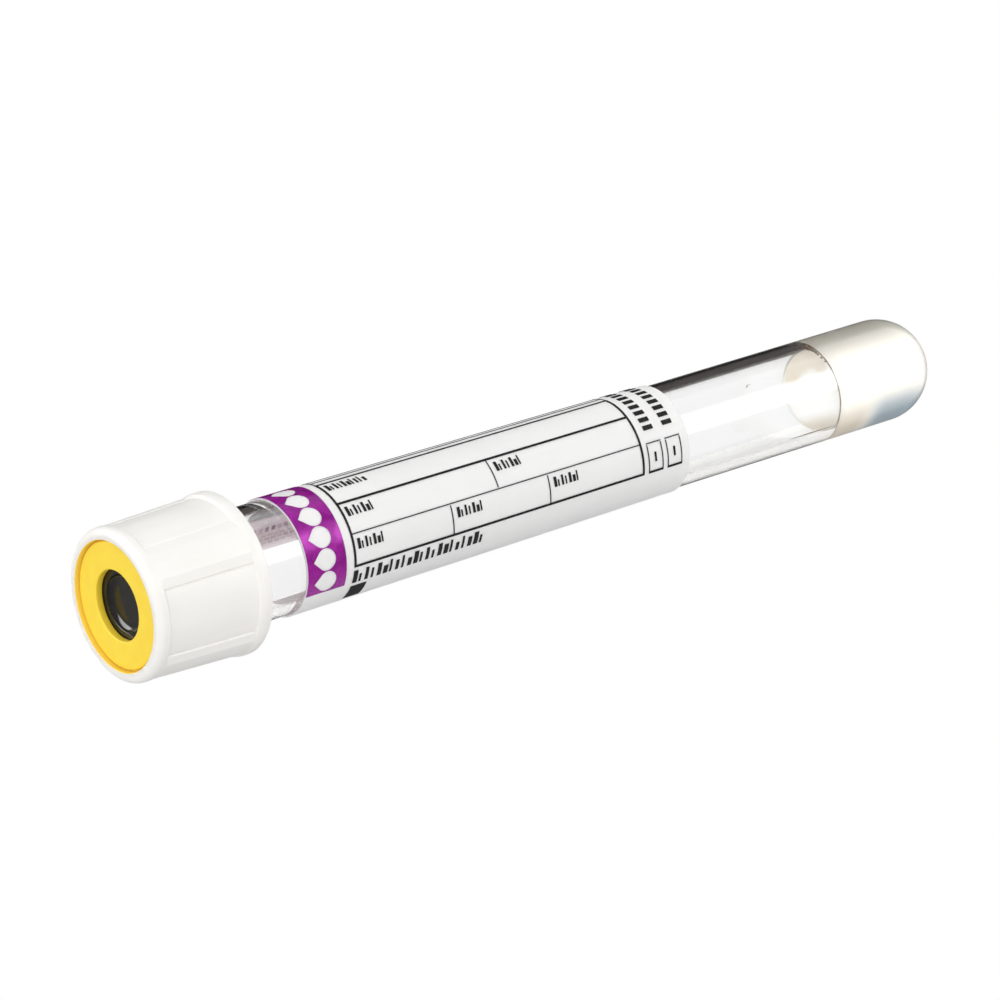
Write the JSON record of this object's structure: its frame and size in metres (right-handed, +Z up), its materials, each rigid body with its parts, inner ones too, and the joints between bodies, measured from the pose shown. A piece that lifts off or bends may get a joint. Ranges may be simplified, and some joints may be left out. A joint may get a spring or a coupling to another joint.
{
  "type": "blood collection tube",
  "caption": "Clear round-bottomed sample tube with separator gel, rubber stopper, padded twist-off cap with a coloured ring, and a wrap label, standing on its cap.",
  "frame": {"origin": "on the tube's axis, on the surface that the cap's front lip stands on", "axes": "+Z up the tube towards its round end; -Y out of the middle of the label's table"},
  "size_m": [0.017, 0.017, 0.1075],
  "materials": {
    "clear_plastic": "clear moulded polyester, glossy",
    "gel": "milky translucent gel",
    "black_rubber": "soft moulded rubber",
    "white_plastic": "satin moulded polythene",
    "yellow_plastic": "satin moulded plastic",
    "label_film": "satin label film",
    "purple_ink": "glossy printed ink",
    "black_ink": "printed ink"
  },
  "bodies": {
    "cap": {"cap_shell": "white_plastic", "cap_ring": "yellow_plastic"},
    "stopper": {"stopper": "black_rubber"},
    "tube": {"tube": "clear_plastic", "gel_plug": "gel", "label": "label_film", "label_band": "purple_ink", "label_print": "black_ink"}
  },
  "joints": [
    {"name": "cap_turn", "type": "hinge", "parent": "cap", "child": "stopper", "pos_m": [0, 0, 0.0065], "axis": [0, 0, 1], "range_deg": [0, 1080]},
    {"name": "plug_draw", "type": "slide", "parent": "stopper", "child": "tube", "axis": [0, 0, 1], "range_m": [0, 0.012]}
  ],
  "couplings": [
    {"joint": "cap_turn", "follows": "plug_draw", "rad_per_m": 1570.8}
  ]
}
